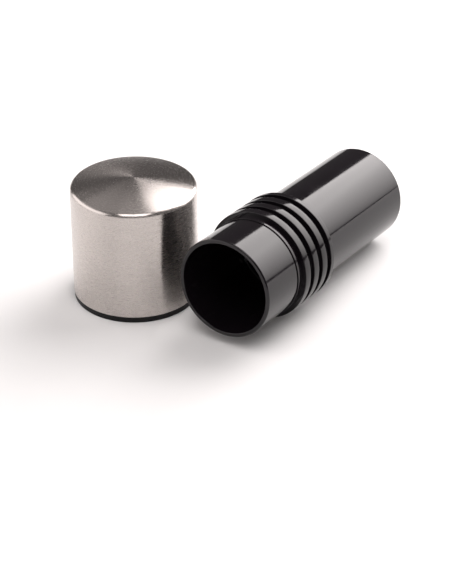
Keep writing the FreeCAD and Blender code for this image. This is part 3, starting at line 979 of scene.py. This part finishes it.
def make_pressure_spring(sizes):
    """Coil between the storage floor and the presser, built at one length; the real spring shortens as the presser
    goes back.
    """
    middle = SPRING.outer - sizes.wire
    length = SPRING.high - SPRING.low - 2 * sizes.wire
    clear_selection()
    bpy.ops.mesh.primitive_circle_add(
        vertices=WIRE_STEPS,
        radius=sizes.wire,
        location=(middle, 0, SPRING.low + sizes.wire),
        rotation=(math.pi / 2, 0, 0),
    )
    piece = bpy.context.object
    piece.name = "pressure_spring_dressed"
    bpy.ops.object.transform_apply(location=True, rotation=True, scale=True)
    coil = piece.modifiers.new("coil", "SCREW")
    coil.axis = "Z"
    coil.iterations = sizes.turns
    coil.screw_offset = length / sizes.turns
    coil.steps = SMALL_STEPS
    coil.render_steps = SMALL_STEPS
    bpy.ops.object.modifier_apply(modifier=coil.name)
    bpy.ops.object.mode_set(mode="EDIT")
    bpy.ops.mesh.select_mode(type="EDGE")
    bpy.ops.mesh.select_all(action="DESELECT")
    bpy.ops.mesh.select_non_manifold()
    bpy.ops.mesh.fill_holes(sides=WIRE_STEPS)
    bpy.ops.mesh.select_all(action="SELECT")
    bpy.ops.mesh.normals_make_consistent(inside=False)
    bpy.ops.object.mode_set(mode="OBJECT")
    hand_over(piece, "pressure_spring", "mill_front", "spring_steel")
    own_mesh(piece)


def make_blade_ring(sizes):
    """Ring that clamps the blade, with its screw holes."""
    ring = reach("blade_ring")
    corners = [
        (ring.inner, ring.low, 0),
        (ring.outer, ring.low, sizes.small_edge),
        (ring.outer, ring.high, sizes.small_edge),
        (ring.inner, ring.high, 0),
    ]
    piece = turned("blade_ring_dressed", corners, steps=INNER_STEPS)
    place = (ring.inner + ring.outer) / 2
    hole = rod("hole", sizes.blade_screw + sizes.gap / 2, ring.low - sizes.gap, ring.high + sizes.gap, place)
    combine(piece, around(hole, THIRDS), "DIFFERENCE")
    hand_over(piece, "blade_ring", "mill_rear", "inner_plastic")


def make_blade_screws(sizes):
    """Three slotted pan screws, modelled once."""
    ring = reach("blade_ring")
    screws = reach("blade_screws")
    place = (ring.inner + ring.outer) / 2
    top = ring.high + sizes.head_height
    screw = turned(
        "blade_screw",
        [
            (0, screws.low, 0),
            (sizes.blade_screw, screws.low, sizes.blade_screw / 2),
            (sizes.blade_screw, ring.high, 0),
            (sizes.blade_head, ring.high, 0),
            (sizes.blade_head, top, sizes.head_height / 2),
            (0, top, 0),
        ],
        steps=SCREW_STEPS,
        edge_steps=SCREW_EDGE_STEPS,
    )
    half = sizes.blade_head / 6
    past = 2 * sizes.blade_head
    slot = block("slot", (-past, -half, top - sizes.head_height / 2), (past, half, top + sizes.gap))
    combine(screw, [slot], "DIFFERENCE")
    settle(screw, Matrix.Translation((place, 0, 0)))
    piece = join(around(screw, THIRDS), "blade_screws_dressed")
    hand_over(piece, "blade_screws", "mill_rear", "screw_steel")


# Pieces of the cap

def dome_outline(edge_radius, top, crown, sizes):
    """Outline corners of a dome, from its slope inwards to the small flat in its middle."""
    slope = math.atan(sizes.rise / (edge_radius - crown))
    rounding = (crown - sizes.crown_flat) / math.tan(slope / 2)
    turns = [slope * (1 - i / DOME_STEPS) for i in range(DOME_STEPS + 1)]
    return [
        (sizes.crown_flat + rounding * math.sin(a), top - rounding * (1 - math.cos(a)), 0) for a in turns
    ]


def make_cap_shell(sizes):
    """Steel cup with a domed top."""
    low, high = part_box("cap_shell")
    outer = (high.x - low.x) / 2
    bore = outer - sizes.steel
    top = high.z
    edge = top - sizes.rise
    outside = dome_outline(outer, top, outer / 2 - sizes.edge, sizes)
    inside = dome_outline(bore, top - sizes.steel, outer / 2 - sizes.edge, sizes)
    piece = turned(
        "cap_shell_dressed",
        [(bore, low.z, 0), (outer, low.z, sizes.steel / 3), (outer, edge, sizes.edge)]
        + outside
        + [(0, top, 0), (0, top - sizes.steel, 0)]
        + inside[::-1]
        + [(bore, edge - sizes.steel, sizes.edge - sizes.steel)],
    )
    hand_over(piece, "cap_shell", "cap", "brushed_steel")


def make_cap_liner(sizes):
    """Black liner, whose foot shows under the steel."""
    low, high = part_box("cap_liner")
    cord_low, cord_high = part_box("cap_cord_ring")
    outer = (high.x - low.x) / 2
    bore = BODY.outer + sizes.fit
    wall = bore + sizes.liner_wall
    cord_middle = (cord_low.z + cord_high.z) / 2
    groove_half = sizes.cord + sizes.cord_play
    groove = bore + 2 * sizes.cord
    ceiling = high.z - sizes.liner_top
    piece = turned(
        "cap_liner_dressed",
        [
            (bore + sizes.liner_lead, 0, 0),
            (outer, 0, sizes.foot_edge),
            (outer, sizes.foot_height, 0),
            (wall, sizes.foot_height, 0),
            (wall, high.z, sizes.liner_wall / 2),
            (0, high.z, 0),
            (0, ceiling, 0),
            (bore, ceiling, sizes.liner_wall / 3),
            (bore, cord_middle + groove_half, 0),
            (groove, cord_middle + groove_half, 0),
            (groove, cord_middle - groove_half, 0),
            (bore, cord_middle - groove_half, 0),
            (bore, sizes.liner_lead, 0),
        ],
    )
    hand_over(piece, "cap_liner", "cap", "liner_black")


def make_cap_cord_ring(sizes):
    """Rubber ring that grips the mouth."""
    low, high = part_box("cap_cord_ring")
    outer = (high.x - low.x) / 2
    middle = (low.z + high.z) / 2
    piece = turned("cap_cord_ring_dressed", cord_outline(outer - sizes.cord, middle, sizes.cord))
    hand_over(piece, "cap_cord_ring", "cap", "black_rubber")


# Stage

# The light is a little warm
LIGHT_TINT = (1.0, 0.955, 0.945)

# Bearing, rise and roll are in degrees. The fades are the shares of light that are left at one side, and
# at the upper and lower ends.
LAMP_VALUES = "name bearing rise distance width height radiance roll side_fade end_fade"
Lamp = namedtuple("Lamp", LAMP_VALUES, defaults=(0, 1.0, 1.0))

LAMPS = (
    Lamp(
        "far_box", bearing=-20, rise=36, distance=1.1, width=1.05, height=1.7, radiance=9.4,
        roll=18, side_fade=0.52, end_fade=0.24,
    ),
    Lamp("left_box", bearing=122, rise=26, distance=1.2, width=2.0, height=0.9, radiance=1.7),
    Lamp("high_box", bearing=68, rise=58, distance=1.3, width=0.8, height=0.7, radiance=0.25),
    Lamp("top_box", bearing=213, rise=66, distance=1.3, width=0.8, height=0.8, radiance=3.6),
)


def softbox(lamp):
    """Rectangular light, aimed at the middle of the floor, that the camera doesn't see.

    Its brightness falls towards one side, and from its middle towards its upper and lower ends.
    """
    bearing, rise = math.radians(lamp.bearing), math.radians(lamp.rise)
    level = math.cos(rise) * lamp.distance
    place = Vector((level * math.cos(bearing), level * math.sin(bearing), math.sin(rise) * lamp.distance))
    clear_selection()
    bpy.ops.object.light_add(type="AREA", location=place)
    light = bpy.context.object
    light.name = lamp.name
    aim = (-place).to_track_quat("-Z", "Y").to_matrix().to_4x4()
    light.rotation_euler = (aim @ Matrix.Rotation(math.radians(-lamp.roll), 4, "Z")).to_euler()
    light.visible_camera = False
    light.data.color = LIGHT_TINT
    light.data.shape = "RECTANGLE"
    light.data.size = lamp.width
    light.data.size_y = lamp.height
    light.data.energy = lamp.radiance * math.pi * lamp.width * lamp.height
    light.data.use_nodes = True
    tree = light.data.node_tree
    over = add(tree, "ShaderNodeNewGeometry").outputs["Parametric"]
    across, along = add(tree, "ShaderNodeSeparateXYZ", {}, {0: over}).outputs[:2]
    sideways = between(tree, across, 0.0, 1.0, lamp.side_fade, 1.0)
    off_middle = maths(tree, "ABSOLUTE", maths(tree, "SUBTRACT", along, 0.5))
    upwards = between(tree, off_middle, 0.0, 0.5, 1.0, lamp.end_fade)
    tree.links.new(maths(tree, "MULTIPLY", sideways, upwards), tree.nodes["Emission"].inputs["Strength"])


def make_floor(settings):
    """Pale round floor."""
    clear_selection()
    bpy.ops.mesh.primitive_circle_add(vertices=INNER_STEPS, radius=settings.floor_radius, fill_type="NGON")
    board = bpy.context.object
    board.name = "floor"
    bpy.ops.object.mode_set(mode="EDIT")
    bpy.ops.mesh.select_all(action="SELECT")
    bpy.ops.mesh.extrude_region_move(TRANSFORM_OT_translate={"value": (0, 0, -settings.floor_thickness)})
    bpy.ops.mesh.select_all(action="SELECT")
    bpy.ops.mesh.normals_make_consistent(inside=False)
    bpy.ops.object.mode_set(mode="OBJECT")
    board.data.materials.append(material("floor"))


def make_camera(settings):
    """Camera that looks from the photograph's side."""
    under_mouth = Vector((MOUTH.x, MOUTH.y, 0))
    bpy.ops.object.camera_add(location=under_mouth + Vector(settings.camera_place))
    camera = bpy.context.object
    camera.name = "photo_view"
    camera.rotation_euler = (math.pi / 2 - settings.pitch, 0, settings.heading - math.pi / 2)
    camera.data.lens = settings.lens
    camera.data.clip_start = 10 * MM
    bpy.context.scene.camera = camera


# Shares of the way up between which the room grows lighter
ROOM_LOW_RISE = 0.1
ROOM_HIGH_RISE = 0.9


def make_surroundings(settings):
    """Dim room round the stage, lighter overhead."""
    world = bpy.data.worlds.new("room")
    world.use_nodes = True
    tree = world.node_tree
    direction = add(tree, "ShaderNodeTexCoord").outputs["Generated"]
    rise = add(tree, "ShaderNodeSeparateXYZ", {}, {0: direction}).outputs[2]
    strength = between(tree, rise, ROOM_LOW_RISE, ROOM_HIGH_RISE, settings.room_low, settings.room_high)
    tree.links.new(strength, tree.nodes["Background"].inputs["Strength"])
    tree.nodes["Background"].inputs["Color"].default_value = (*LIGHT_TINT, 1)
    bpy.context.scene.world = world
    bpy.context.scene.view_settings.view_transform = "Standard"


# Operators

class MakeStage(bpy.types.Operator):
    """Camera, floor, lights and room"""

    bl_idname = "spicemill.make_stage"
    bl_label = "Stage"

    def execute(self, context):
        settings = context.scene.mill_stage
        make_camera(settings)
        make_floor(settings)
        make_surroundings(settings)
        for lamp in LAMPS:
            softbox(lamp)
        return {"FINISHED"}


class MakeStorageBody(bpy.types.Operator):
    """Storage tube with its round open mouth"""

    bl_idname = "spicemill.make_storage_body"
    bl_label = "Storage body"

    def execute(self, context):
        make_storage_body(context.scene.mill_sizes)
        return {"FINISHED"}


class MakeGripSleeve(bpy.types.Operator):
    """Ribbed sleeve round the waist"""

    bl_idname = "spicemill.make_grip_sleeve"
    bl_label = "Grip sleeve"

    def execute(self, context):
        make_grip_sleeve(context.scene.mill_sizes)
        return {"FINISHED"}


class MakeRearTube(bpy.types.Operator):
    """Tube that is twisted by hand"""

    bl_idname = "spicemill.make_rear_tube"
    bl_label = "Rear tube"

    def execute(self, context):
        make_rear_tube(context.scene.mill_sizes)
        return {"FINISHED"}


class MakeCap(bpy.types.Operator):
    """Steel cap and its black liner"""

    bl_idname = "spicemill.make_cap"
    bl_label = "Cap"

    def execute(self, context):
        make_cap_shell(context.scene.cap_sizes)
        make_cap_liner(context.scene.cap_sizes)
        make_cap_cord_ring(context.scene.cap_sizes)
        return {"FINISHED"}


class MakeDrive(bpy.types.Operator):
    """Drive sleeve, bearing collar and friction ring"""

    bl_idname = "spicemill.make_drive"
    bl_label = "Drive"

    def execute(self, context):
        make_drive_sleeve(context.scene.inner_sizes)
        make_bearing_collar(context.scene.inner_sizes)
        make_friction_ring(context.scene.inner_sizes)
        return {"FINISHED"}


class MakePresser(bpy.types.Operator):
    """Presser, its prong plate and its spring"""

    bl_idname = "spicemill.make_presser"
    bl_label = "Presser"

    def execute(self, context):
        make_presser(context.scene.inner_sizes)
        make_prong_plate(context.scene.inner_sizes)
        make_pressure_spring(context.scene.inner_sizes)
        return {"FINISHED"}


class MakeBladeEnd(bpy.types.Operator):
    """Blade ring and its screws"""

    bl_idname = "spicemill.make_blade_end"
    bl_label = "Blade end"

    def execute(self, context):
        make_blade_ring(context.scene.inner_sizes)
        make_blade_screws(context.scene.inner_sizes)
        return {"FINISHED"}


class MakeFramePieces(bpy.types.Operator):
    """Materials for the frame's own pieces that stay in view"""

    bl_idname = "spicemill.dress_frame_pieces"
    bl_label = "Frame pieces"

    def execute(self, context):
        slots = {part["node"]: part["material_slot"] for part in frame["record"]["subparts"]}
        for name, piece in frame["nodes"].items():
            piece.data.materials.clear()
            piece.data.materials.append(material(slots[name]))
        return {"FINISHED"}


STEPS = (
    MakeStage,
    MakeStorageBody,
    MakeGripSleeve,
    MakeRearTube,
    MakeDrive,
    MakePresser,
    MakeBladeEnd,
    MakeCap,
    MakeFramePieces,
)


class SpiceMillPanel(bpy.types.Panel):
    """Builds the spice mill piece by piece"""

    bl_idname = "VIEW3D_PT_spice_mill"
    bl_label = "Spice mill"
    bl_space_type = "VIEW_3D"
    bl_region_type = "UI"
    bl_category = "Spice mill"

    def draw(self, context):
        for step in STEPS:
            self.layout.operator(step.bl_idname)


CLASSES = (MillSizes, InnerSizes, CapSizes, Finishes, StageSettings) + STEPS + (SpiceMillPanel,)


def register():
    for cls in CLASSES:
        bpy.utils.register_class(cls)
    bpy.types.Scene.mill_sizes = PointerProperty(type=MillSizes)
    bpy.types.Scene.inner_sizes = PointerProperty(type=InnerSizes)
    bpy.types.Scene.cap_sizes = PointerProperty(type=CapSizes)
    bpy.types.Scene.mill_finishes = PointerProperty(type=Finishes)
    bpy.types.Scene.mill_stage = PointerProperty(type=StageSettings)


def unregister():
    for name in ("mill_sizes", "inner_sizes", "cap_sizes", "mill_finishes", "mill_stage"):
        delattr(bpy.types.Scene, name)
    for cls in reversed(CLASSES):
        bpy.utils.unregister_class(cls)


def main():
    register()
    bpy.ops.spicemill.make_stage()
    bpy.ops.spicemill.make_storage_body()
    bpy.ops.spicemill.make_grip_sleeve()
    bpy.ops.spicemill.make_rear_tube()
    bpy.ops.spicemill.make_drive()
    bpy.ops.spicemill.make_presser()
    bpy.ops.spicemill.make_blade_end()
    bpy.ops.spicemill.make_cap()
    bpy.ops.spicemill.dress_frame_pieces()


if __name__ == "__main__":
    main()
